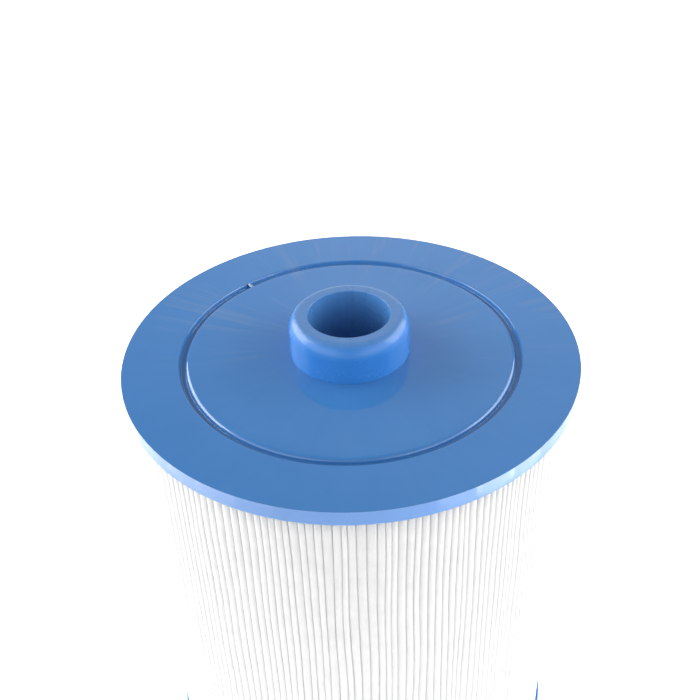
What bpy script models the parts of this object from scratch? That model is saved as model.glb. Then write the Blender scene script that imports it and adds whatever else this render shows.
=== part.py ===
"""Pleated pool and spa filter cartridge: a wall of pleated white cloth potted between two blue end caps.

Water passes inwards through the pleats and through the windows of a two-piece core tube, and leaves by the
bore of the collar on the top cap. The bottom cap is closed, and the cartridge stands on it.

Metres, +Z up, origin at the centre of the bottom face. Run it with
    blender --background --python part.py
"""

import math

import bmesh
import bpy

# Driving dimensions
BODY_LENGTH = 0.251  # from cap face to cap face, without the collar
CAP_RADIUS = 0.108
CAP_HEIGHT = 0.0076  # of the rim
CAP_WEB = 0.0036  # the disc over the pocket that holds the pleats
CAP_SKIRT = 0.0012  # the wall round that pocket
CAP_EDGE_ROUND = 0.0008
GROOVE_RADIUS = 0.0786
GROOVE_WIDTH = 0.0052
GROOVE_DEPTH = 0.0022
COLLAR_RADIUS = 0.0284
COLLAR_HEIGHT = 0.0205
COLLAR_ROUND = 0.0052  # how far in the collar's rounded shoulder goes
COLLAR_ROUND_HEIGHT = 0.0076  # and how far down its side
BORE_RADIUS = 0.0193
BORE_WALL = 0.0030  # of the tube that carries the bore on below the flange
BORE_TUBE_LENGTH = 0.0160  # how far the tube runs down into the core
CORE_RADIUS = 0.0350
CORE_WALL = 0.0030
CORE_WINDOWS_ROUND = 12
CORE_WINDOWS_UP = 6  # in each of the two sections
WINDOW_SHARE = 0.72  # of the height of one window and one ring
FLANGE_THICKNESS = 0.0020
SPIGOT_WALL = 0.0025
SPIGOT_LENGTH = 0.0090
PLUG_THICKNESS = 0.0044  # the core stands on it, above the lower cap's rim
PLUG_BOSS = 0.0040  # its raised middle, inside the core
COUPLER_WALL = 0.0020
COUPLER_LENGTH = 0.0200
MEDIA_INNER_RADIUS = 0.0400
SEAM_WIDTH = 0.0012
SEAM_ANGLE = math.radians(110)  # from +X: the side that faces away from the front, which is -Y
LEAD = 0.0003  # small bevels on moulded edges
GAP = 0.0003  # between pieces that touch

CAP_STEPS = 72  # round a cap or the media
HUB_STEPS = 48  # round the hub
CORE_STEPS = 36  # round the core, three to a window and its rib

# Worked out from them
POCKET_RADIUS = CAP_RADIUS - CAP_SKIRT
MEDIA_RADIUS = POCKET_RADIUS - GAP
POCKET_BOTTOM = CAP_WEB + GAP
POCKET_TOP = BODY_LENGTH - CAP_WEB - GAP
SPIGOT_RADIUS = CORE_RADIUS - CORE_WALL - GAP
CORE_BOTTOM = POCKET_BOTTOM + PLUG_THICKNESS + GAP
CORE_TOP = POCKET_TOP - FLANGE_THICKNESS - GAP
CORE_MIDDLE = (CORE_BOTTOM + CORE_TOP) / 2

BLUE_URETHANE = (0.045, 0.190, 0.560, 1.0)
BLUE_PLASTIC = (0.030, 0.160, 0.560, 1.0)
WHITE_CLOTH = (0.86, 0.87, 0.86, 1.0)
WHITE_PLASTIC = (0.78, 0.79, 0.78, 1.0)
HOT_GLUE = (0.82, 0.80, 0.72, 1.0)


def clear_scene():
    for obj in list(bpy.data.objects):
        bpy.data.objects.remove(obj, do_unlink=True)


def make_collection(name):
    collection = bpy.data.collections.new(name)
    bpy.context.scene.collection.children.link(collection)
    return collection


def make_material(name, colour, roughness):
    material = bpy.data.materials.new(name)
    material.use_nodes = True
    shader = material.node_tree.nodes["Principled BSDF"]
    shader.inputs["Base Color"].default_value = colour
    shader.inputs["Roughness"].default_value = roughness
    shader.inputs["Metallic"].default_value = 0.0
    return material


def add_object(name, data, material, collection):
    obj = bpy.data.objects.new(name, data)
    data.materials.append(material)
    collection.objects.link(obj)
    return obj


def arc(centre_r, centre_z, radius_r, radius_z, start, end, steps):
    """Points of an elliptical arc in the (radius, height) plane, its angles in degrees."""
    points = []
    for step in range(steps + 1):
        angle = math.radians(start + (end - start) * step / steps)
        points.append((centre_r + radius_r * math.cos(angle), centre_z + radius_z * math.sin(angle)))
    return points


def turned(name, profile, steps, material, collection):
    """A solid of revolution: a profile of (radius, height) points that runs down its outer side.

    A profile that starts and ends on the axis is left open there. Any other one is closed.
    """
    edges = [(i, i + 1) for i in range(len(profile) - 1)]
    if profile[0][0] > 0:
        edges.append((len(profile) - 1, 0))
    mesh = bpy.data.meshes.new(name)
    mesh.from_pydata([(r, 0.0, z) for r, z in profile], edges, [])
    obj = add_object(name, mesh, material, collection)
    screw = obj.modifiers.new("turn", "SCREW")
    screw.steps = steps
    screw.render_steps = steps
    screw.use_merge_vertices = True
    screw.merge_threshold = 0.00001
    screw.use_smooth_shade = True
    return obj


def cap_profile(hole):
    """A shallow cup, open downwards: web, ring groove, rounded rim and the pocket for the pleats."""
    face = BODY_LENGTH
    rim = face - CAP_HEIGHT
    web = face - CAP_WEB
    groove = arc(GROOVE_RADIUS, face, GROOVE_WIDTH / 2, GROOVE_DEPTH, 180, 360, 5)
    edge = arc(CAP_RADIUS - CAP_EDGE_ROUND, face - CAP_EDGE_ROUND, CAP_EDGE_ROUND, CAP_EDGE_ROUND, 90, 0, 2)
    side = [(CAP_RADIUS, rim + LEAD), (CAP_RADIUS - LEAD, rim)]
    pocket = [(POCKET_RADIUS, rim), (POCKET_RADIUS, web)]
    return [(hole, face)] + groove + edge + side + pocket + [(hole, web)]


def make_top_cap(material, collection):
    profile = cap_profile(COLLAR_RADIUS + GAP)
    return turned("top_end_cap", profile, CAP_STEPS, material, collection)


def make_bottom_cap(material, collection):
    """The same cup without a hole, turned over, so its points run in the opposite order."""
    profile = [(r, BODY_LENGTH - z) for r, z in reversed(cap_profile(0.0))]
    return turned("bottom_end_cap", profile, CAP_STEPS, material, collection)


def make_hub(material, collection):
    """The collar, its neck through the cap, a flange under the cap, a spigot in the core and the bore's tube."""
    top = BODY_LENGTH + COLLAR_HEIGHT
    under_flange = POCKET_TOP - FLANGE_THICKNESS
    spigot_end = under_flange - SPIGOT_LENGTH
    spigot_inside = SPIGOT_RADIUS - SPIGOT_WALL
    tube_outside = BORE_RADIUS + BORE_WALL
    tube_end = POCKET_TOP - BORE_TUBE_LENGTH
    lip = [(BORE_RADIUS, top - LEAD), (BORE_RADIUS + LEAD, top)]
    shoulder_r = COLLAR_RADIUS - COLLAR_ROUND
    shoulder_z = top - COLLAR_ROUND_HEIGHT
    shoulder = arc(shoulder_r, shoulder_z, COLLAR_ROUND, COLLAR_ROUND_HEIGHT, 90, 0, 5)
    flange = [(COLLAR_RADIUS, POCKET_TOP), (CORE_RADIUS, POCKET_TOP), (CORE_RADIUS, under_flange)]
    spigot = [(SPIGOT_RADIUS, under_flange), (SPIGOT_RADIUS, spigot_end)]
    spigot += [(spigot_inside, spigot_end), (spigot_inside, under_flange)]
    tube = [(tube_outside, under_flange), (tube_outside, tube_end), (BORE_RADIUS, tube_end)]
    profile = lip + shoulder + flange + spigot + tube
    return turned("hub_collar", profile, HUB_STEPS, material, collection)


def make_plug(material, collection):
    """The disc that closes the core's lower end, with a boss that centres it inside the core."""
    shoulder = POCKET_BOTTOM + PLUG_THICKNESS
    boss_top = shoulder + PLUG_BOSS
    boss = [(0.0, boss_top), (SPIGOT_RADIUS - LEAD, boss_top), (SPIGOT_RADIUS, boss_top - LEAD)]
    disc = [(SPIGOT_RADIUS, shoulder), (CORE_RADIUS, shoulder), (CORE_RADIUS, POCKET_BOTTOM)]
    profile = boss + disc + [(0.0, POCKET_BOTTOM)]
    return turned("core_plug", profile, CORE_STEPS, material, collection)


def make_coupler(material, collection):
    """The sleeve round the joint between the two lengths of core."""
    inside = CORE_RADIUS + GAP
    outside = inside + COUPLER_WALL
    top = CORE_MIDDLE + COUPLER_LENGTH / 2
    bottom = CORE_MIDDLE - COUPLER_LENGTH / 2
    upper_edge = [(inside, top), (outside - LEAD, top), (outside, top - LEAD)]
    lower_edge = [(outside, bottom + LEAD), (outside - LEAD, bottom), (inside, bottom)]
    return turned("core_coupler", upper_edge + lower_edge, CORE_STEPS, material, collection)


def window_rows():
    """Heights of the lattice's lines, from 0 to 1: a ring, then a window and a ring for each window."""
    ring = (1 - WINDOW_SHARE) / (CORE_WINDOWS_UP + 1 - WINDOW_SHARE)
    window = ring * WINDOW_SHARE / (1 - WINDOW_SHARE)
    heights = [0.0, ring]
    for _ in range(CORE_WINDOWS_UP):
        heights.append(heights[-1] + window)
        heights.append(heights[-1] + ring)
    return heights


def make_core_section(name, bottom, top, material, collection):
    """One length of the core: a flat lattice with windows, rolled into a tube and given its wall."""
    heights = window_rows()
    rows = len(heights) - 1
    columns_per_window = CORE_STEPS // CORE_WINDOWS_ROUND
    bm = bmesh.new()
    bmesh.ops.create_grid(bm, x_segments=CORE_STEPS, y_segments=rows, size=0.5)
    windows = []
    for face in bm.faces:
        centre = face.calc_center_median()
        column = int((centre.x + 0.5) * CORE_STEPS)
        row = int((centre.y + 0.5) * rows)
        if row % 2 == 1 and column % columns_per_window != 0:
            windows.append(face)
    bmesh.ops.delete(bm, geom=windows, context="FACES")
    for vert in bm.verts:
        angle = 2 * math.pi * (vert.co.x + 0.5)
        row = round((vert.co.y + 0.5) * rows)
        height = bottom + (top - bottom) * heights[row]
        vert.co = (CORE_RADIUS * math.cos(angle), CORE_RADIUS * math.sin(angle), height)
    bmesh.ops.remove_doubles(bm, verts=bm.verts, dist=0.00001)
    bmesh.ops.recalc_face_normals(bm, faces=bm.faces)
    mesh = bpy.data.meshes.new(name)
    bm.to_mesh(mesh)
    bm.free()
    obj = add_object(name, mesh, material, collection)
    wall = obj.modifiers.new("wall", "SOLIDIFY")
    wall.thickness = CORE_WALL
    wall.offset = -1.0
    wall.use_even_offset = True
    return obj


def make_media(material, collection):
    """The pleated strip's outer shape: a thick ring with a slot where the strip's two ends meet."""
    slot = SEAM_WIDTH / 2 + GAP
    outline = []
    for radius, turn in ((MEDIA_RADIUS, 1), (MEDIA_INNER_RADIUS, -1)):
        half_slot = math.asin(slot / radius)
        for step in range(CAP_STEPS + 1):
            sweep = half_slot + (2 * math.pi - 2 * half_slot) * step / CAP_STEPS
            angle = SEAM_ANGLE + turn * sweep
            outline.append((radius * math.cos(angle), radius * math.sin(angle), 0.0))
    curve = bpy.data.curves.new("pleated_media", "CURVE")
    curve.dimensions = "2D"
    curve.fill_mode = "BOTH"
    curve.extrude = (POCKET_TOP - POCKET_BOTTOM) / 2
    spline = curve.splines.new("POLY")
    spline.points.add(len(outline) - 1)
    for point, place in zip(spline.points, outline):
        point.co = (*place, 1.0)
    spline.use_cyclic_u = True
    obj = add_object("pleated_media", curve, material, collection)
    obj.location.z = (POCKET_BOTTOM + POCKET_TOP) / 2
    return obj


def make_seam(material, collection):
    """The upright film of glue that joins the strip's two ends, in the media's slot."""
    depth = MEDIA_RADIUS - MEDIA_INNER_RADIUS
    middle = (MEDIA_RADIUS + MEDIA_INNER_RADIUS) / 2
    bm = bmesh.new()
    bmesh.ops.create_cube(bm, size=1.0)
    bmesh.ops.scale(bm, vec=(depth, SEAM_WIDTH, POCKET_TOP - POCKET_BOTTOM), verts=bm.verts)
    mesh = bpy.data.meshes.new("seam_bead")
    bm.to_mesh(mesh)
    bm.free()
    obj = add_object("seam_bead", mesh, material, collection)
    height = (POCKET_BOTTOM + POCKET_TOP) / 2
    obj.location = (middle * math.cos(SEAM_ANGLE), middle * math.sin(SEAM_ANGLE), height)
    obj.rotation_euler.z = SEAM_ANGLE
    return obj


def main():
    clear_scene()
    cartridge = make_collection("filter_cartridge")
    urethane = make_material("blue_urethane", BLUE_URETHANE, 0.25)
    blue_plastic = make_material("blue_plastic", BLUE_PLASTIC, 0.35)
    cloth = make_material("white_cloth", WHITE_CLOTH, 0.90)
    white_plastic = make_material("white_plastic", WHITE_PLASTIC, 0.50)
    glue = make_material("hot_glue", HOT_GLUE, 0.45)

    make_top_cap(urethane, cartridge)
    make_hub(blue_plastic, cartridge)
    make_media(cloth, cartridge)
    make_seam(glue, cartridge)
    make_core_section("core_section_lower", CORE_BOTTOM, CORE_MIDDLE - GAP / 2, white_plastic, cartridge)
    make_core_section("core_section_upper", CORE_MIDDLE + GAP / 2, CORE_TOP, white_plastic, cartridge)
    make_coupler(white_plastic, cartridge)
    make_plug(white_plastic, cartridge)
    make_bottom_cap(urethane, cartridge)


main()
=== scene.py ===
"""Looks of the pleated pool and spa filter cartridge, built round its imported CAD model.

Two cast blue end caps hold a ring of pleated white cloth. A collar with an open bore stands on the top cap.
Every turned piece is a fine profile spun round the axis, and the cloth is one strip, folded to and fro.
Metres, +Z up, the origin in the middle of the bottom face. -Y is the front.
"""

import math

import bmesh
import bpy
import numpy as np
from mathutils import Matrix, Vector


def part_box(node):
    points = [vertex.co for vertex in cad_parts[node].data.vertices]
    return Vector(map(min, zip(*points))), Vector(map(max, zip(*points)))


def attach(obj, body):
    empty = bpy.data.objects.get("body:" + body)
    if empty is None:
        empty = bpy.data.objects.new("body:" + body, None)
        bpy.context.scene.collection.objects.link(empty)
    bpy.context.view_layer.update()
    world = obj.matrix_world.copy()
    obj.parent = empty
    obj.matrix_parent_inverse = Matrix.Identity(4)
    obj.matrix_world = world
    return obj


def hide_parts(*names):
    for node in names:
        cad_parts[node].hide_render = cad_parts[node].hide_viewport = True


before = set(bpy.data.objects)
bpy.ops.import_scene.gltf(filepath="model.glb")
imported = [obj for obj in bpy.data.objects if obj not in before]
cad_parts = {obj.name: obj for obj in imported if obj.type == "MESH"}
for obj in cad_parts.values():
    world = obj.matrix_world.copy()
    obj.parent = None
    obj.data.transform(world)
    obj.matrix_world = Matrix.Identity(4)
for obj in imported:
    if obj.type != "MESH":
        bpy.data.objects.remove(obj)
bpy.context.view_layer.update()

MM = 0.001
TAU = 2 * math.pi


# ---------------------------------------------------------------- sizes read from the frame


def radii(node, low, high):
    """The smallest and largest radius of a CAD node's points between two heights."""
    found = []
    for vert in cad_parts[node].data.vertices:
        if low < vert.co.z < high:
            found.append(math.hypot(vert.co.x, vert.co.y))
    return min(found), max(found)


TOP_LOW, TOP_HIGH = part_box("top_end_cap")
HUB_LOW, HUB_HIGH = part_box("hub_collar")
MEDIA_LOW, MEDIA_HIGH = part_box("pleated_media")
PLUG_LOW, PLUG_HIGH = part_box("core_plug")
COUPLER_LOW, COUPLER_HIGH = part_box("core_coupler")

CAP_RADIUS = TOP_HIGH.x
FACE = TOP_HIGH.z  # height of the top cap's face
RIM = TOP_LOW.z  # height of the top cap's lower edge
COLLAR_TOP = HUB_HIGH.z
BORE_RADIUS, COLLAR_RADIUS = radii("hub_collar", FACE + MM, COLLAR_TOP + MM)
CORE_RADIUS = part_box("core_section_upper")[1].x
MEDIA_INNER_RADIUS, MEDIA_RADIUS = radii("pleated_media", 0, FACE)
POCKET_TOP = MEDIA_HIGH.z  # underside of the top cap's web, but for a small gap

# ---------------------------------------------------------------- other sizes

CAP_WEB = 3.6 * MM
CAP_SKIRT = 1.2 * MM
CAP_CROWN = 1.0 * MM  # how far the face rises from the groove to the collar
GROOVE_INNER = 0.7040 * CAP_RADIUS
GROOVE_OUTER = 0.7520 * CAP_RADIUS
GROOVE_DEPTH = 2.2 * MM
GROOVE_LIP = 2.2 * MM  # radius of the convex edge at its inner side
COLLAR_ROUND = 5.2 * MM  # the collar's shoulder, inwards
COLLAR_ROUND_HEIGHT = 7.6 * MM  # and down the side
FLANGE = 2.0 * MM  # thickness of the hub's flange under the cap
SPIGOT_RADIUS = CORE_RADIUS - 3.3 * MM  # of the hub's spigot and the plug's boss, inside the core
SPIGOT_LENGTH = 9.0 * MM
SPIGOT_WALL = 2.5 * MM
TUBE_WALL = 3.0 * MM  # of the tube that carries the bore on into the core
CORE_WALL = 3.0 * MM
PLEATS = 176
CLOTH = 0.5 * MM  # thickness
FOLD_UNEVEN = 0.24  # shares of a pleat's width: how much folds vary,
FOLD_CROWDING = 0.16  # how much narrower they are at the front right,
FOLD_WANDER = 0.22  # and how far they wander on their way down
SEAM_ANGLE = math.radians(110)
BLISTER_AZIMUTH = 220
BLISTER_SIZE = (2.5 * MM, 0.9 * MM, 0.95 * MM)  # half its extents: out from the axis, along the groove, up


# ---------------------------------------------------------------- mesh helpers


def add_object(name, data):
    obj = bpy.data.objects.new(name, data)
    bpy.context.scene.collection.objects.link(obj)
    return obj


def add_mesh(name, verts, faces):
    mesh = bpy.data.meshes.new(name)
    mesh.from_pydata([tuple(v) for v in verts], [], faces)
    mesh.validate()
    return add_object(name, mesh)


def add_bmesh(name, build):
    mesh = bpy.data.meshes.new(name)
    build.to_mesh(mesh)
    build.free()
    return add_object(name, mesh)


def shade_smooth(obj, sharp_degrees=None):
    obj.data.shade_smooth()
    if sharp_degrees is not None:
        obj.data.set_sharp_from_angle(angle=math.radians(sharp_degrees))


def rounded(corners, closed=True):
    """A (radius, height) outline through corners of (radius, height, fillet), with each fillet as an arc.

    Two points beside each arc keep the flats next to it flat when the surface is shaded smooth.
    """
    outline = []
    count = len(corners)
    for i, (r, z, fillet) in enumerate(corners):
        here = Vector((r, z))
        at_end = not closed and i in (0, count - 1)
        if fillet == 0 or at_end:
            outline.append((r, z))
            continue
        to_last = (Vector(corners[i - 1][:2]) - here).normalized()
        to_next = (Vector(corners[(i + 1) % count][:2]) - here).normalized()
        half = to_last.angle(to_next) / 2
        reach = fillet / math.tan(half)
        centre = here + (to_last + to_next).normalized() * (fillet / math.sin(half))
        start = here + to_last * reach - centre
        turn = math.pi - 2 * half
        if start.x * to_last.y - start.y * to_last.x > 0:
            turn = -turn
        steps = max(3, math.ceil(abs(turn) / math.radians(12)))
        beside = min(fillet * 0.3, 0.2 * MM)
        outline.append(tuple(here + to_last * (reach + beside)))
        for step in range(steps + 1):
            a = turn * step / steps
            x = start.x * math.cos(a) - start.y * math.sin(a)
            y = start.x * math.sin(a) + start.y * math.cos(a)
            outline.append((centre.x + x, centre.y + y))
        outline.append(tuple(here + to_next * (reach + beside)))
    return outline


def turned(name, outline, steps=288):
    """Spins an outline, which runs down its outer side. One that starts on the axis is open there."""
    edges = [(i, i + 1) for i in range(len(outline) - 1)]
    if outline[0][0] > 0:
        edges.append((len(outline) - 1, 0))
    mesh = bpy.data.meshes.new(name)
    mesh.from_pydata([(r, 0.0, z) for r, z in outline], edges, [])
    obj = add_object(name, mesh)
    screw = obj.modifiers.new("turn", "SCREW")
    screw.steps = steps
    screw.render_steps = steps
    screw.use_merge_vertices = True
    screw.merge_threshold = 0.00001
    screw.use_smooth_shade = True
    return obj


# ---------------------------------------------------------------- end caps


def cap_corners(hole, crown):
    """A cap seen in section: face, groove, rim, and the urethane that the ends of the pleats stand in."""
    skirt = CAP_RADIUS - CAP_SKIRT
    web = FACE - CAP_WEB
    potting = RIM + 0.8 * MM
    potting_inner = MEDIA_INNER_RADIUS - 1.5 * MM
    corners = [(hole, FACE + crown, 0)]
    if hole:
        corners.append((hole + 0.04 * MM, FACE + crown, 0))
    crown_steps = 14
    crown_power = 1.6
    flat_from = GROOVE_INNER - 5 * MM
    for step in range(1, crown_steps + 1):
        share = step / crown_steps
        height = FACE + crown * (1 - share) ** crown_power
        corners.append((hole + (flat_from - hole) * share, height, 0))
    for degrees in range(0, 73, 6):
        angle = math.radians(degrees)
        fall = GROOVE_LIP * (1 - math.cos(angle))
        corners.append((GROOVE_INNER + GROOVE_LIP * math.sin(angle), FACE - fall, 0))
    corners += [
        (GROOVE_INNER + GROOVE_LIP + 0.15 * MM, FACE - GROOVE_DEPTH, 0.4 * MM),
        (GROOVE_OUTER - 0.8 * MM, FACE - GROOVE_DEPTH, 0.6 * MM),
        (GROOVE_OUTER + 0.1 * MM, FACE, 0.5 * MM),
        (CAP_RADIUS, FACE, 0.13 * MM),
        (CAP_RADIUS - 0.1 * MM, RIM, 0.45 * MM),
        (skirt, RIM, 0.3 * MM),
        (skirt, potting, 0.2 * MM),
        (potting_inner, potting, 0.5 * MM),
        (potting_inner, web, 0.8 * MM),
        (hole, web, 0),
    ]
    return corners


def make_top_cap():
    cap = turned("cap_top", rounded(cap_corners(COLLAR_RADIUS + 0.02 * MM, CAP_CROWN)))
    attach(cap, "root")
    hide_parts("top_end_cap")
    return cap


def make_blister():
    """A small blister of the cast urethane that bridges the groove."""
    angle = math.radians(BLISTER_AZIMUTH - 90)
    middle = (GROOVE_INNER + GROOVE_OUTER) / 2 + 0.2 * MM
    centre = Vector((middle * math.cos(angle), middle * math.sin(angle), FACE - 0.7 * MM))
    size = Matrix.Diagonal((*BLISTER_SIZE, 1))
    build = bmesh.new()
    where = Matrix.Translation(centre) @ Matrix.Rotation(angle, 4, "Z") @ size
    bmesh.ops.create_uvsphere(build, u_segments=24, v_segments=12, radius=1, matrix=where)
    blister = add_bmesh("blister", build)
    shade_smooth(blister)
    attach(blister, "root")
    return blister


def make_bottom_cap():
    """The closed cap is the same casting turned over, so its points run in the opposite order."""
    outline = [(r, FACE - z) for r, z in reversed(rounded(cap_corners(0.0, 0.0), closed=False))]
    cap = turned("cap_bottom", outline)
    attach(cap, "root")
    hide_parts("bottom_end_cap")
    return cap


def make_hub():
    """The collar, its neck, the flange under the cap, the spigot in the core and the bore's tube."""
    flange_low = POCKET_TOP - FLANGE
    spigot_low = flange_low - SPIGOT_LENGTH
    spigot_inner = SPIGOT_RADIUS - SPIGOT_WALL
    tube = BORE_RADIUS + TUBE_WALL
    shoulder_r = COLLAR_RADIUS - COLLAR_ROUND
    shoulder_z = COLLAR_TOP - COLLAR_ROUND_HEIGHT
    corners = [(BORE_RADIUS, COLLAR_TOP, 0.4 * MM), (shoulder_r - 0.2 * MM, COLLAR_TOP, 0)]
    for degrees in range(90, -1, -5):
        angle = math.radians(degrees)
        r = shoulder_r + COLLAR_ROUND * math.cos(angle)
        corners.append((r, shoulder_z + COLLAR_ROUND_HEIGHT * math.sin(angle), 0))
    corners += [
        (COLLAR_RADIUS, shoulder_z - 0.2 * MM, 0),
        (COLLAR_RADIUS, POCKET_TOP, 0.2 * MM),
        (CORE_RADIUS, POCKET_TOP, 0.3 * MM),
        (CORE_RADIUS, flange_low, 0.3 * MM),
        (SPIGOT_RADIUS, flange_low, 0.2 * MM),
        (SPIGOT_RADIUS, spigot_low, 0.4 * MM),
        (spigot_inner, spigot_low, 0.4 * MM),
        (spigot_inner, flange_low, 0.3 * MM),
        (tube, flange_low, 0.8 * MM),
        (tube, HUB_LOW.z, 0.5 * MM),
        (BORE_RADIUS, HUB_LOW.z, 0.5 * MM),
    ]
    hub = turned("hub", rounded(corners), steps=192)
    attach(hub, "root")
    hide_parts("hub_collar")
    return hub


# ---------------------------------------------------------------- core


def make_core_section(name, node):
    """A windowed tube: a flat grid without its windows, rolled up, given its wall and softened edges."""
    low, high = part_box(node)
    columns = 144
    per_window, solid = 12, 4  # columns from one window to the next, and how many of them are solid
    ring, window, levels = 1.0, 2.6, 6  # relative heights, and how many windows there are one over another
    heights = [0.0, ring]
    for _ in range(levels):
        heights += [heights[-1] + window, heights[-1] + window + ring]
    rows = len(heights) - 1
    build = bmesh.new()
    bmesh.ops.create_grid(build, x_segments=columns, y_segments=rows, size=0.5)
    windows = []
    for face in build.faces:
        centre = face.calc_center_median()
        column = int((centre.x + 0.5) * columns) % per_window
        row = int((centre.y + 0.5) * rows)
        if row % 2 == 1 and column >= solid:
            windows.append(face)
    bmesh.ops.delete(build, geom=windows, context="FACES")
    for vert in build.verts:
        angle = TAU * (vert.co.x + 0.5)
        share = heights[round((vert.co.y + 0.5) * rows)] / heights[-1]
        z = low.z + (high.z - low.z) * share
        vert.co = (CORE_RADIUS * math.cos(angle), CORE_RADIUS * math.sin(angle), z)
    bmesh.ops.remove_doubles(build, verts=build.verts, dist=0.00001)
    bmesh.ops.recalc_face_normals(build, faces=build.faces)
    core = add_bmesh(name, build)
    wall = core.modifiers.new("wall", "SOLIDIFY")
    wall.thickness = CORE_WALL
    wall.offset = -1.0
    wall.use_even_offset = True
    edges = core.modifiers.new("edges", "BEVEL")
    edges.width = 0.4 * MM
    edges.segments = 2
    edges.limit_method = "ANGLE"
    edges.angle_limit = math.radians(50)
    shade_smooth(core)
    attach(core, "root")
    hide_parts(node)
    return core


def make_coupler():
    """The sleeve round the joint between the two lengths of core, with a raised ring round its middle."""
    inside, outside = radii("core_coupler", COUPLER_LOW.z - MM, COUPLER_HIGH.z + MM)
    middle = (COUPLER_LOW.z + COUPLER_HIGH.z) / 2
    body = outside - 0.7 * MM
    ring_foot, ring_edge = 2.0 * MM, 1.4 * MM  # half its height, where it leaves the body and outside
    corners = [
        (inside, COUPLER_HIGH.z, 0.2 * MM),
        (body, COUPLER_HIGH.z, 0.5 * MM),
        (body, middle + ring_foot, 0.4 * MM),
        (outside, middle + ring_edge, 0.4 * MM),
        (outside, middle - ring_edge, 0.4 * MM),
        (body, middle - ring_foot, 0.4 * MM),
        (body, COUPLER_LOW.z, 0.5 * MM),
        (inside, COUPLER_LOW.z, 0.2 * MM),
    ]
    coupler = turned("coupler", rounded(corners), steps=144)
    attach(coupler, "root")
    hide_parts("core_coupler")
    return coupler


def make_core_plug():
    """The disc under the core, with a dished boss that centres it."""
    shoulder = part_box("core_section_lower")[0].z - 0.3 * MM
    dish = PLUG_HIGH.z - 1.2 * MM
    corners = [
        (0.0, dish, 0),
        (SPIGOT_RADIUS - 3.5 * MM, dish, 0.8 * MM),
        (SPIGOT_RADIUS - 2.5 * MM, PLUG_HIGH.z, 0.5 * MM),
        (SPIGOT_RADIUS, PLUG_HIGH.z, 0.5 * MM),
        (SPIGOT_RADIUS, shoulder, 0.2 * MM),
        (CORE_RADIUS, shoulder, 0.4 * MM),
        (CORE_RADIUS, PLUG_LOW.z, 0.4 * MM),
        (0.0, PLUG_LOW.z, 0),
    ]
    plug = turned("plug", rounded(corners, closed=False), steps=144)
    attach(plug, "root")
    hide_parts("core_plug")
    return plug


# ---------------------------------------------------------------- pleated cloth


def smooth_noise(rng, shape, passes):
    """Random numbers from -1 to 1 on a grid that closes along its first axis, smoothed along both."""
    noise = rng.uniform(-1, 1, shape)
    for _ in range(passes):
        noise = (np.roll(noise, 1, 0) + 2 * noise + np.roll(noise, -1, 0)) / 4
        padded = np.concatenate([noise[:, :1], noise, noise[:, -1:]], axis=1)
        noise = (padded[:, :-2] + 2 * noise + padded[:, 2:]) / 4
    return noise / np.abs(noise).max()


def fold_edges(rng, rows):
    """The angle at which each outer fold ends, at each height.

    Folds vary in width, are narrower at the front right, and wander a little.
    """
    uneven = rng.uniform(-1, 1, PLEATS)
    around = SEAM_ANGLE + TAU * np.arange(PLEATS) / PLEATS
    front_right = math.radians(-60)
    crowded = np.cos(around - front_right)
    width = 1 + FOLD_UNEVEN * uneven - FOLD_CROWDING * crowded
    edges = np.cumsum(width) - width[0] / 2
    wander = FOLD_WANDER * TAU / PLEATS * smooth_noise(rng, (PLEATS, rows), 2)
    wander[0] = wander[-1] = 0
    return SEAM_ANGLE + (edges * TAU / width.sum())[:, None] + wander


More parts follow.
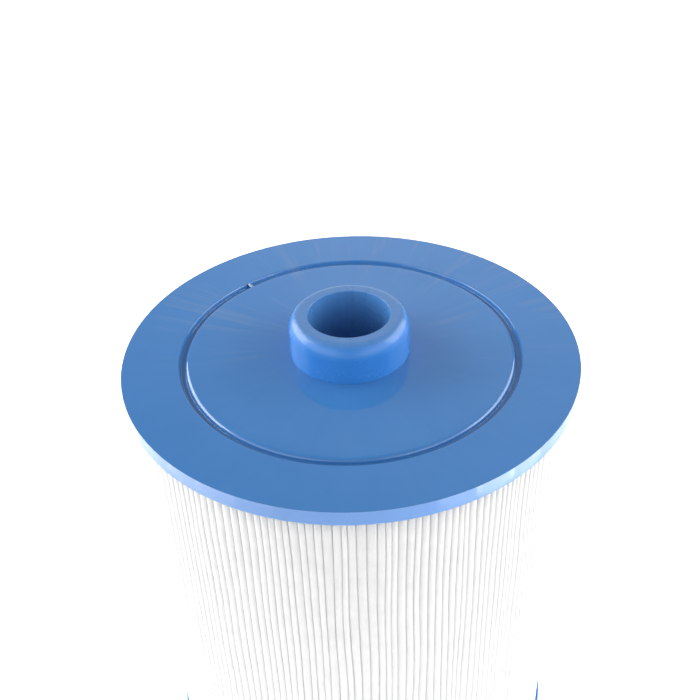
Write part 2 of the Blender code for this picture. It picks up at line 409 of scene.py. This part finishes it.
def make_media():
    """One strip of cloth folded to and fro round the core, its two ends meeting at the seam.

    The strip's middle surface is built fold by fold at each height, and Solidify gives it its thickness.
    """
    rng = np.random.default_rng(7)
    rows = 18
    half = CLOTH / 2
    heights = np.linspace(MEDIA_LOW.z, MEDIA_HIGH.z, rows)
    fold_end = fold_edges(rng, rows)
    width = (fold_end - np.roll(fold_end, 1, 0)) % TAU
    outer_angle = fold_end - width / 2
    even = SEAM_ANGLE + TAU * (np.arange(PLEATS) + 0.5) / PLEATS
    outer_radius = MEDIA_RADIUS - half - 0.25 * MM - 0.25 * MM * smooth_noise(rng, (PLEATS, rows), 1)
    inner_radius = MEDIA_INNER_RADIUS + half + 0.6 * MM + 0.5 * MM * rng.uniform(-1, 1, PLEATS)
    valley = 0.06 * MM  # open space between neighbouring outer folds
    crest = 0.6  # how far an outer fold bulges out, as a share of half its width
    outer_round = (width * (MEDIA_RADIUS - 2 * MM) - valley) / 2 - half
    inner_round = 0.33 * MM
    bow = 0.35 * MM * smooth_noise(rng, (2 * PLEATS, rows), 2)
    leg_shares = (0.33, 0.67)
    seam_radius = outer_radius[0] - 0.4 * MM
    seam_gap = 1.0 * MM / MEDIA_RADIUS

    columns = []

    def add_column(radius, angle):
        columns.append(np.stack([radius * np.cos(angle), radius * np.sin(angle), heights], axis=1))

    def add_flank(start_r, start_a, end_r, end_a, bulge):
        for share in leg_shares:
            radius = start_r + (end_r - start_r) * share
            angle = start_a + (end_a - start_a) * share
            add_column(radius, angle + bulge * math.sin(math.pi * share) / radius)

    def add_outer_fold(angle, radius, bend):
        """A half round that is a little flat."""
        for turn in outer_sweep:
            r = radius + crest * bend * math.cos(turn)
            add_column(r, angle + bend * math.sin(turn) / r)

    outer_sweep = np.radians(np.linspace(-90, 90, 7))
    inner_sweep = np.radians(np.linspace(-90, 90, 3))
    for k in range(PLEATS):
        tip_angle, tip_round = outer_angle[k], outer_round[k]
        tip_centre = outer_radius[k] - crest * tip_round
        fold = np.full(rows, even[k])
        fold_centre = np.full(rows, inner_radius[k] + inner_round)
        if k == 0:
            leg_start = (seam_radius, tip_angle + seam_gap)
            add_column(*leg_start)
        else:
            add_outer_fold(tip_angle, tip_centre, tip_round)
            leg_start = (tip_centre, tip_angle + tip_round / tip_centre)
        leg_end = (fold_centre, fold - inner_round / fold_centre)
        add_flank(*leg_start, *leg_end, bow[2 * k])
        for turn in inner_sweep:
            r = fold_centre - inner_round * math.cos(turn)
            add_column(r, fold + inner_round * math.sin(turn) / r)
        after = (k + 1) % PLEATS
        turned_on = TAU if after == 0 else 0
        next_round = outer_round[after]
        next_centre = outer_radius[after] - crest * next_round
        next_angle = outer_angle[after] + turned_on
        leg_start = (fold_centre, fold + inner_round / fold_centre)
        if after == 0:
            leg_end = (seam_radius, next_angle - seam_gap)
        else:
            leg_end = (next_centre, next_angle - next_round / next_centre)
        add_flank(*leg_start, *leg_end, bow[2 * k + 1])
        if after == 0:
            add_column(*leg_end)

    points = np.concatenate(columns)
    count = len(columns)
    faces = []
    for i in range(count - 1):
        for j in range(rows - 1):
            a, b = i * rows + j, (i + 1) * rows + j
            faces.append((a, b, b + 1, a + 1))
    media = add_mesh("pleats", points, faces)
    cloth = media.modifiers.new("cloth", "SOLIDIFY")
    cloth.thickness = CLOTH
    cloth.offset = 0.0
    shade_smooth(media)
    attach(media, "root")
    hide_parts("pleated_media")
    return media


def make_seam():
    """The glue film between the strip's two ends, with the bead that squeezes out along its outer edge."""
    rng = np.random.default_rng(3)
    rows = 90
    low, high = MEDIA_LOW.z + 0.5 * MM, MEDIA_HIGH.z - 0.5 * MM
    wobble = smooth_noise(rng, (1, rows), 3)[0]
    along = Vector((math.cos(SEAM_ANGLE), math.sin(SEAM_ANGLE), 0))
    across = Vector((-math.sin(SEAM_ANGLE), math.cos(SEAM_ANGLE), 0))
    inner = MEDIA_INNER_RADIUS + 2 * MM
    outer = MEDIA_RADIUS - 1.3 * MM
    film = 0.6 * MM  # half its thickness
    film_end = outer - 3 * MM
    verts, faces = [], []
    bead_steps = 9
    for j in range(rows):
        z = low + (high - low) * j / (rows - 1)
        bead = (0.75 + 0.2 * wobble[j]) * MM
        ring = [(inner, -film), (film_end, -film)]
        for step in range(bead_steps):
            a = math.radians(-130 + 260 * step / (bead_steps - 1))
            ring.append((outer + bead * math.cos(a) * 0.9, bead * math.sin(a)))
        ring += [(film_end, film), (inner, film)]
        for r, t in ring:
            verts.append(along * r + across * t + Vector((0, 0, z)))
    n = bead_steps + 4
    for j in range(rows - 1):
        for i in range(n):
            k = (i + 1) % n
            faces.append((j * n + i, j * n + k, (j + 1) * n + k, (j + 1) * n + i))
    faces.append(tuple(reversed(range(n))))
    faces.append(tuple(range((rows - 1) * n, rows * n)))
    seam = add_mesh("seam", verts, faces)
    shade_smooth(seam, 60)
    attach(seam, "root")
    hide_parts("seam_bead")
    return seam


# ---------------------------------------------------------------- materials


def add_node(tree, kind, settings=None, **inputs):
    """A shader node. Its inputs are given by name, as values or as sockets to link from."""
    node = tree.nodes.new(kind)
    for key, value in (settings or {}).items():
        setattr(node, key, value)
    for key, value in inputs.items():
        socket = node.inputs[int(key[1:])] if key[0] == "n" and key[1:].isdigit() else None
        if socket is None:
            socket = node.inputs[key.replace("_", " ")]
        if isinstance(value, bpy.types.NodeSocket):
            tree.links.new(value, socket)
        else:
            socket.default_value = value
    return node


def new_material(name, **values):
    material = bpy.data.materials.new(name)
    material.use_nodes = True
    tree = material.node_tree
    shader = tree.nodes["Principled BSDF"]
    for key, value in values.items():
        shader.inputs[key.replace("_", " ")].default_value = value
    return material, tree, shader


def object_place(tree):
    return tree.nodes.new("ShaderNodeTexCoord").outputs["Object"]


def mix_colours(tree, factor, first, second):
    """Goes from the first colour to the second as the factor goes from 0 to 1. Each is RGBA or a socket."""
    settings = {"data_type": "RGBA"}
    return add_node(tree, "ShaderNodeMix", settings, n0=factor, n6=first, n7=second).outputs[2]


def shade_between(tree, factor, dark, light):
    """A colour that goes from dark to light as a texture's value goes from 0 to 1."""
    return mix_colours(tree, factor, (*dark, 1.0), (*light, 1.0))


def spread_out(tree, value, low, high, to_low=0.0, to_high=1.0):
    """Stretches the part of a texture's value between low and high to the range that is wanted."""
    node = tree.nodes.new("ShaderNodeMapRange")
    tree.links.new(value, node.inputs["Value"])
    for key, number in (("From Min", low), ("From Max", high), ("To Min", to_low), ("To Max", to_high)):
        node.inputs[key].default_value = number
    return node.outputs["Result"]


def combine(tree, operation, result, *others):
    """A sum, product or the like of numbers and sockets, from left to right."""
    for other in others:
        node = tree.nodes.new("ShaderNodeMath")
        node.operation = operation
        for socket, value in zip(node.inputs, (result, other)):
            if isinstance(value, bpy.types.NodeSocket):
                tree.links.new(value, socket)
            else:
                socket.default_value = value
        result = node.outputs[0]
    return result


def weighted_sum(tree, first, first_weight, second, second_weight):
    first = combine(tree, "MULTIPLY", first, first_weight)
    return combine(tree, "ADD", first, combine(tree, "MULTIPLY", second, second_weight))


def bump(tree, height, strength, distance):
    node = tree.nodes.new("ShaderNodeBump")
    node.inputs["Strength"].default_value = strength
    node.inputs["Distance"].default_value = distance
    tree.links.new(height, node.inputs["Height"])
    return node.outputs["Normal"]


def noise(tree, place, scale, detail=2.0, roughness=0.5, stretch=None):
    if stretch is not None:
        place = add_node(tree, "ShaderNodeMapping", Vector=place, Scale=stretch).outputs[0]
    inputs = {"Vector": place, "Scale": scale, "Detail": detail, "Roughness": roughness}
    return add_node(tree, "ShaderNodeTexNoise", **inputs).outputs[0]


def around_axis(tree, place):
    """Polar coordinates about the cartridge's axis, (turns, radius, height), and the radius alone."""
    split = add_node(tree, "ShaderNodeSeparateXYZ", Vector=place)
    x, y, z = split.outputs
    turns = combine(tree, "DIVIDE", combine(tree, "ARCTAN2", y, x), TAU)
    square = combine(tree, "ADD", combine(tree, "MULTIPLY", x, x), combine(tree, "MULTIPLY", y, y))
    radius = combine(tree, "SQRT", square, 0.0)
    joined = add_node(tree, "ShaderNodeCombineXYZ")
    for socket, value in zip(joined.inputs, (turns, radius, z)):
        tree.links.new(value, socket)
    return joined.outputs[0], radius


def urethane_material():
    """Cast urethane: glossy, a little cloudy, with wipe marks and fine scratches, a paler film at the back
    that is partly a painted reflection, and a rim side painted darker as painted shade.
    """
    material, tree, shader = new_material("urethane", IOR=1.5, Specular_IOR_Level=0.8)
    place = object_place(tree)
    polar, radius = around_axis(tree, place)
    clouds = noise(tree, place, scale=32.0, detail=4.0, roughness=0.55)
    wipes = noise(tree, polar, scale=1.0, detail=4.0, roughness=0.6, stretch=(46.0, 24.0, 24.0))
    tone = spread_out(tree, weighted_sum(tree, clouds, 0.55, wipes, 0.45), 0.3, 0.7)
    face = shade_between(tree, tone, (0.044, 0.181, 0.455), (0.050, 0.196, 0.492))

    # A paler film in streaks, strongest towards the back: partly wipe marks, partly a painted reflection of
    # the bright wall behind.
    streaks = noise(tree, polar, scale=1.0, detail=3.0, roughness=0.65, stretch=(75.0, 9.0, 9.0))
    patches = noise(tree, place, scale=26.0, detail=1.0)
    behind = add_node(tree, "ShaderNodeSeparateXYZ", Vector=place).outputs[1]
    film = combine(
        tree,
        "MULTIPLY",
        spread_out(tree, streaks, 0.50, 0.70),
        spread_out(tree, patches, 0.42, 0.60),
        spread_out(tree, behind, -20 * MM, 45 * MM, 0.12, 1.0),
    )
    film_and_painted_reflection = mix_colours(tree, combine(tree, "MULTIPLY", film, 0.6), face, (0.125, 0.235, 0.440, 1.0))

    # Painted shade: the rim's side is given a darker copy of the same urethane's colour.
    side = shade_between(tree, tone, (0.048, 0.146, 0.358), (0.055, 0.160, 0.392))
    on_side = spread_out(tree, radius, CAP_RADIUS - 0.3 * MM, CAP_RADIUS - 0.12 * MM)
    tree.links.new(mix_colours(tree, on_side, film_and_painted_reflection, side), shader.inputs["Base Color"])

    smudges = spread_out(tree, wipes, 0.35, 0.75, 0.045, 0.11)
    rough = combine(tree, "ADD", smudges, combine(tree, "MULTIPLY", film, 0.08))
    tree.links.new(rough, shader.inputs["Roughness"])
    scratches = noise(tree, polar, scale=1.0, detail=2.0, roughness=0.7, stretch=(420.0, 60.0, 60.0))
    waves = noise(tree, place, scale=22.0, detail=1.0)
    relief = weighted_sum(tree, waves, 0.9, scratches, 0.03)
    tree.links.new(bump(tree, relief, strength=0.22, distance=0.0006), shader.inputs["Normal"])
    return material


def blister_material():
    """The same urethane, paler and cloudy: the paler colour is partly a blister full of air and partly a
    painted glint.
    """
    material, tree, shader = new_material("blister_skin", Roughness=0.16, IOR=1.5)
    place = object_place(tree)
    cloudy = spread_out(tree, noise(tree, place, scale=700.0, detail=3.0), 0.35, 0.65)
    # Partly a painted glint: the blister is painted much paler than the cap's urethane.
    colour = shade_between(tree, cloudy, (0.13, 0.25, 0.46), (0.26, 0.36, 0.52))
    tree.links.new(colour, shader.inputs["Base Color"])
    tree.links.new(bump(tree, cloudy, strength=0.3, distance=0.0002), shader.inputs["Normal"])
    return material


def hub_material():
    """Moulded blue plastic: satin, with a fine grain; painted paler inside the bore as painted light, and
    greyer on the top as a painted reflection.
    """
    material, tree, shader = new_material("hub_plastic", IOR=1.5)
    place = object_place(tree)
    polar, radius = around_axis(tree, place)
    clouds = spread_out(tree, noise(tree, place, scale=55.0, detail=4.0, roughness=0.6), 0.3, 0.7)
    streaks = noise(tree, polar, scale=1.0, detail=3.0, roughness=0.6, stretch=(60.0, 10.0, 40.0))
    streaks = spread_out(tree, streaks, 0.3, 0.7)
    skin = shade_between(tree, clouds, (0.027, 0.182, 0.540), (0.031, 0.193, 0.575))
    # Painted light: the bore's wall is painted paler and greyer, standing in for light that reaches down the
    # bore.
    painted_bore_light = shade_between(tree, streaks, (0.065, 0.215, 0.500), (0.080, 0.240, 0.560))
    # Painted reflection: the collar's top is painted greyer and paler, standing in for the studio that its
    # flat ring mirrors.
    painted_top_reflection = shade_between(tree, streaks, (0.080, 0.205, 0.460), (0.095, 0.225, 0.490))
    height = add_node(tree, "ShaderNodeSeparateXYZ", Vector=place).outputs[2]
    on_top = spread_out(tree, height, COLLAR_TOP - 2.2 * MM, COLLAR_TOP)
    in_bore = spread_out(tree, radius, BORE_RADIUS + 0.3 * MM, BORE_RADIUS + 0.1 * MM)
    skin = mix_colours(tree, on_top, skin, painted_top_reflection)
    skin = mix_colours(tree, in_bore, skin, painted_bore_light)
    tree.links.new(skin, shader.inputs["Base Color"])
    tree.links.new(spread_out(tree, clouds, 0.0, 1.0, 0.22, 0.30), shader.inputs["Roughness"])
    grain = noise(tree, place, scale=2600.0, detail=2.0)
    rings = noise(tree, polar, scale=1.0, detail=2.0, roughness=0.6, stretch=(6.0, 900.0, 900.0))
    relief = weighted_sum(tree, grain, 0.5, rings, 0.5)
    tree.links.new(bump(tree, relief, strength=0.12, distance=0.00005), shader.inputs["Normal"])
    return material


def cloth_material():
    """Spunbonded polyester: matted white fibres, cloudy where the web is thicker. Light passes through."""
    material, tree, shader = new_material("cloth", Roughness=0.85, IOR=1.45)
    shader.inputs["Subsurface Weight"].default_value = 1.0
    shader.inputs["Subsurface Radius"].default_value = (1.0, 1.0, 1.0)
    shader.inputs["Subsurface Scale"].default_value = 5.0 * MM
    shader.inputs["Sheen Weight"].default_value = 0.15
    place = object_place(tree)
    clouds = spread_out(tree, noise(tree, place, scale=140.0, detail=5.0, roughness=0.65), 0.3, 0.7)
    colour = shade_between(tree, clouds, (0.755, 0.76, 0.755), (0.815, 0.82, 0.815))
    tree.links.new(colour, shader.inputs["Base Color"])
    rising = noise(tree, place, scale=900.0, detail=2.0, roughness=0.6, stretch=(1.0, 1.0, 0.16))
    across = noise(tree, place, scale=900.0, detail=2.0, roughness=0.6, stretch=(0.2, 0.2, 1.0))
    fibres = combine(tree, "MAXIMUM", rising, across)
    tree.links.new(bump(tree, fibres, strength=0.35, distance=0.00012), shader.inputs["Normal"])
    return material


def core_material():
    """Moulded white plastic: satin, with soft flow marks and a fine spark-eroded grain."""
    material, tree, shader = new_material("core_white", IOR=1.48)
    place = object_place(tree)
    flow = noise(tree, place, scale=30.0, detail=3.0, roughness=0.6, stretch=(1.0, 1.0, 0.25))
    flow = spread_out(tree, flow, 0.3, 0.7)
    colour = shade_between(tree, flow, (0.74, 0.75, 0.735), (0.82, 0.83, 0.82))
    tree.links.new(colour, shader.inputs["Base Color"])
    tree.links.new(spread_out(tree, flow, 0.0, 1.0, 0.38, 0.52), shader.inputs["Roughness"])
    grain = noise(tree, place, scale=1800.0, detail=2.0)
    tree.links.new(bump(tree, grain, strength=0.15, distance=0.00005), shader.inputs["Normal"])
    return material


def glue_material():
    """Hot-melt glue: slightly yellow, waxy, with soft ripples where it was drawn down the joint."""
    material, tree, shader = new_material("glue", IOR=1.48)
    shader.inputs["Subsurface Weight"].default_value = 0.4
    shader.inputs["Subsurface Scale"].default_value = 1.5 * MM
    place = object_place(tree)
    tone = spread_out(tree, noise(tree, place, scale=90.0, detail=4.0, roughness=0.6), 0.3, 0.7)
    colour = shade_between(tree, tone, (0.78, 0.74, 0.62), (0.86, 0.83, 0.74))
    tree.links.new(colour, shader.inputs["Base Color"])
    tree.links.new(spread_out(tree, tone, 0.0, 1.0, 0.28, 0.42), shader.inputs["Roughness"])
    ripples = noise(tree, place, scale=160.0, detail=2.0, stretch=(1.0, 1.0, 2.5))
    tree.links.new(bump(tree, ripples, strength=0.3, distance=0.0003), shader.inputs["Normal"])
    return material


# ---------------------------------------------------------------- stage

CAMERA_ELEVATION = math.radians(36.1)
CAMERA_DISTANCE = 4.418 * CAP_RADIUS
CAMERA_ROLL = math.radians(-2.14)
CAMERA_LENS = 51.49
CAMERA_SENSOR = 36.0
CAMERA_SHIFT = -0.0015
MIDDLE = (0, 0, FACE)  # what the camera and every lamp look at

# The studio's brightness: overhead, low down, and what is added for the wall, the darker gaps beside it,
# the darker strip on its left, and the sides.
WORLD_TOP = 0.20
WORLD_LOW = 0.85
WORLD_WALL = 0.25
WORLD_GAPS = -0.55
WORLD_LEFT = -0.25
WORLD_SIDES = 1.35
FLOOR_GLOW = 0.45
FLOOR_HALF = 6  # half the floor's width in metres

# Low lamps stand in an arc round the object, from -135 to 135 degrees, where 0 is the front and 90 the right.
# Each kind has a size, a height over the floor and a power for each square metre, and peaks round the arc,
# each a strength, an azimuth and a spread in degrees.
ARC_END, ARC_STEP = 135, 18
ARC_RADIUS = 0.445  # at the front
ARC_SHRINK = 0.045  # how much less it is at 120 degrees
LAMP_SIZE, LAMP_HEIGHT, LAMP_POWER = (0.15, 0.045), 0.004, 15
SOFT_BASE = 1.6
SOFT_PEAKS = ((1.1, 70, 42), (0.5, -103, 36))
STRONG_PEAKS = ((11.0, 70, 34), (9.0, -103, 34))
GLINT_SIZE, GLINT_HEIGHT, GLINT_POWER = (0.12, 0.05), 0.012, 4
GLINT_RADIUS = 0.338  # where the rim's side mirrors the floor towards the camera
GLINT_PEAKS = ((1.9, 66, 22), (0.7, -70, 26))


def look_at(obj, eye, target, roll=0.0):
    """Places a camera or light at eye, looking at target, and rolls it about its line of sight."""
    forward = (Vector(target) - Vector(eye)).normalized()
    turn = forward.to_track_quat("-Z", "Y").to_matrix().to_4x4()
    obj.matrix_world = Matrix.Translation(Vector(eye)) @ turn @ Matrix.Rotation(roll, 4, "Z")


def add_camera():
    """A 51.5 mm lens 4.4 cap radii from the cap's face, 36 degrees above it, rolled by two degrees."""
    data = bpy.data.cameras.new("camera")
    data.sensor_width = CAMERA_SENSOR
    data.lens = CAMERA_LENS
    data.shift_y = CAMERA_SHIFT
    data.clip_start = 0.01
    camera = add_object("camera", data)
    towards = Vector((0, -math.cos(CAMERA_ELEVATION), math.sin(CAMERA_ELEVATION)))
    look_at(camera, Vector(MIDDLE) + CAMERA_DISTANCE * towards, MIDDLE, CAMERA_ROLL)
    bpy.context.scene.camera = camera


def add_area(name, eye, size, power, lit=None):
    """A white lamp that looks at the middle of the cap's face. It lights everything, or one collection."""
    data = bpy.data.lights.new(name, "AREA")
    data.shape = "RECTANGLE"
    data.size, data.size_y = size
    data.energy = power
    light = add_object(name, data)
    light.visible_camera = False
    look_at(light, eye, MIDDLE)
    if lit is not None:
        light.light_linking.receiver_collection = lit


def bells(value, peaks, total=0.0):
    """The total of bell curves, each given as (strength, middle, spread)."""
    for strength, middle, spread in peaks:
        total += strength * math.exp(-(((value - middle) / spread) ** 2))
    return total


def add_floor_glow(glossy):
    """Low lamps in an arc on the floor, brightest at both sides.

    Each is a soft lamp for everything and a strong one for the glossy pieces, as small kickers would be
    flagged off the cloth. The strong ones show in the rim's side.
    """
    lamp_power = LAMP_POWER * LAMP_SIZE[0] * LAMP_SIZE[1]
    glint_power = GLINT_POWER * GLINT_SIZE[0] * GLINT_SIZE[1]
    for degrees in range(-ARC_END, ARC_END + 1, ARC_STEP):
        angle = math.radians(degrees)
        reach = ARC_RADIUS - ARC_SHRINK * abs(degrees) / 120
        eye = (reach * math.sin(angle), -reach * math.cos(angle), LAMP_HEIGHT)
        add_area("floor_lamp", eye, LAMP_SIZE, lamp_power * bells(degrees, SOFT_PEAKS, SOFT_BASE))
        add_area("rim_lamp", eye, LAMP_SIZE, lamp_power * bells(degrees, STRONG_PEAKS), glossy)
        eye = (GLINT_RADIUS * math.sin(angle), -GLINT_RADIUS * math.cos(angle), GLINT_HEIGHT)
        add_area("rim_glint", eye, GLINT_SIZE, glint_power * bells(degrees, GLINT_PEAKS), glossy)


def add_floor():
    corners = ((-1, -1), (1, -1), (1, 1), (-1, 1))
    floor = add_mesh("floor", [(FLOOR_HALF * x, FLOOR_HALF * y, 0) for x, y in corners], [(0, 1, 2, 3)])
    material, _, shader = new_material("floor_white", Roughness=0.9)
    shader.inputs["Base Color"].default_value = (0.9, 0.9, 0.9, 1)
    shader.inputs["Emission Color"].default_value = (1, 1, 1, 1)
    shader.inputs["Emission Strength"].default_value = FLOOR_GLOW
    floor.data.materials.append(material)


def add_world():
    """A studio that is brighter low down than overhead, with a white wall behind the object."""
    world = bpy.data.worlds.new("studio")
    bpy.context.scene.world = world
    world.use_nodes = True
    tree = world.node_tree
    background = tree.nodes["Background"]
    background.inputs["Color"].default_value = (1.0, 1.0, 1.0, 1)
    towards = tree.nodes.new("ShaderNodeTexCoord").outputs["Generated"]
    x, y, z = add_node(tree, "ShaderNodeSeparateXYZ", Vector=towards).outputs
    from_middle = combine(tree, "ABSOLUTE", x, 0.0)
    ahead = spread_out(tree, y, 0.3, 0.5)
    overall = spread_out(tree, z, 0.95, 0.30, WORLD_TOP, WORLD_LOW)
    wall = combine(
        tree,
        "MULTIPLY",
        spread_out(tree, from_middle, 0.26, 0.03),
        spread_out(tree, z, 0.72, 0.50),
        ahead,
        WORLD_WALL,
    )
    gaps = combine(
        tree,
        "MULTIPLY",
        spread_out(tree, from_middle, 0.25, 0.40),
        spread_out(tree, z, 0.60, 0.40),
        ahead,
        WORLD_GAPS,
        spread_out(tree, from_middle, 0.85, 0.72),
    )
    left = combine(
        tree,
        "MULTIPLY",
        spread_out(tree, x, -0.20, 0.15, WORLD_LEFT, 0.0),
        ahead,
        spread_out(tree, x, -0.35, -0.25),
    )
    sides = combine(
        tree,
        "MULTIPLY",
        spread_out(tree, from_middle, 0.15, 0.50),
        spread_out(tree, z, 0.80, 0.45),
        spread_out(tree, y, 0.30, 0.0),
        WORLD_SIDES,
    )
    total = combine(tree, "ADD", overall, wall, gaps, left, sides)
    tree.links.new(total, background.inputs["Strength"])


# ---------------------------------------------------------------- the whole


def main():
    add_camera()
    add_world()
    add_floor()
    add_area("panel_left", eye=(-0.84, 0.34, 0.55), size=(0.9, 0.7), power=10)
    add_area("panel_right", eye=(0.88, 0.22, 0.55), size=(1.0, 0.7), power=7)
    bpy.context.scene.view_settings.view_transform = "Standard"

    urethane = urethane_material()
    plastic = hub_material()
    white = core_material()

    glossy = bpy.data.collections.new("glossy_pieces")
    for piece in (make_top_cap(), make_bottom_cap()):
        piece.data.materials.append(urethane)
        glossy.objects.link(piece)
    blister = make_blister()
    blister.data.materials.append(blister_material())
    glossy.objects.link(blister)
    hub = make_hub()
    hub.data.materials.append(plastic)
    glossy.objects.link(hub)
    add_floor_glow(glossy)
    for name, node in (("core_lower", "core_section_lower"), ("core_upper", "core_section_upper")):
        make_core_section(name, node).data.materials.append(white)
    make_coupler().data.materials.append(white)
    make_core_plug().data.materials.append(white)
    make_media().data.materials.append(cloth_material())
    make_seam().data.materials.append(glue_material())


main()
